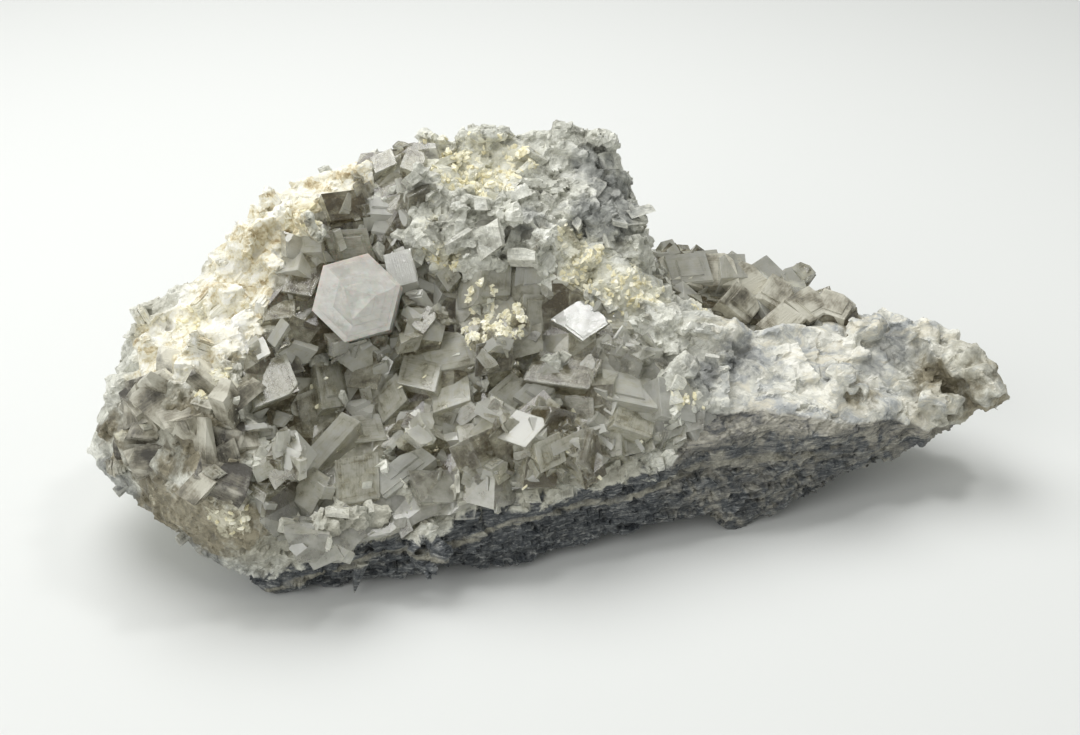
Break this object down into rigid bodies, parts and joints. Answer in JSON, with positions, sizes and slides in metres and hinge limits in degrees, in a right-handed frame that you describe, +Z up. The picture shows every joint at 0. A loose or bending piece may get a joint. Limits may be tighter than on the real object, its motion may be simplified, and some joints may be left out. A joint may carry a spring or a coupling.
{
  "type": "dolomite specimen",
  "caption": "Broken piece of grey dolomite rock on a dark bedded base, with pockets of smoky rhombohedral crystals and one pale calcite crystal; it rests on flat feet.",
  "frame": {"origin": "on the surface it rests on, under the middle of the specimen's box", "axes": "+X along the length, towards the low pointed arm; +Y towards the back; +Z up. The big crystal pocket looks to -Y."},
  "size_m": [0.204, 0.1016, 0.0744],
  "materials": {
    "rock": "matt to sugary broken dolomite rock, pale grey with cream flakes, on a dark blue-grey bedded base",
    "dolomite_crystal": "smoky beige-grey translucent dolomite crystals with glossy flat faces and paler growth bands",
    "calcite": "milky translucent pinkish-white calcite with satin faces"
  },
  "bodies": {
    "root": {"matrix_rock": "rock", "front_crystal_crust": "dolomite_crystal", "back_crystal_crust": "dolomite_crystal", "calcite_crystal": "calcite"}
  },
  "joints": []
}
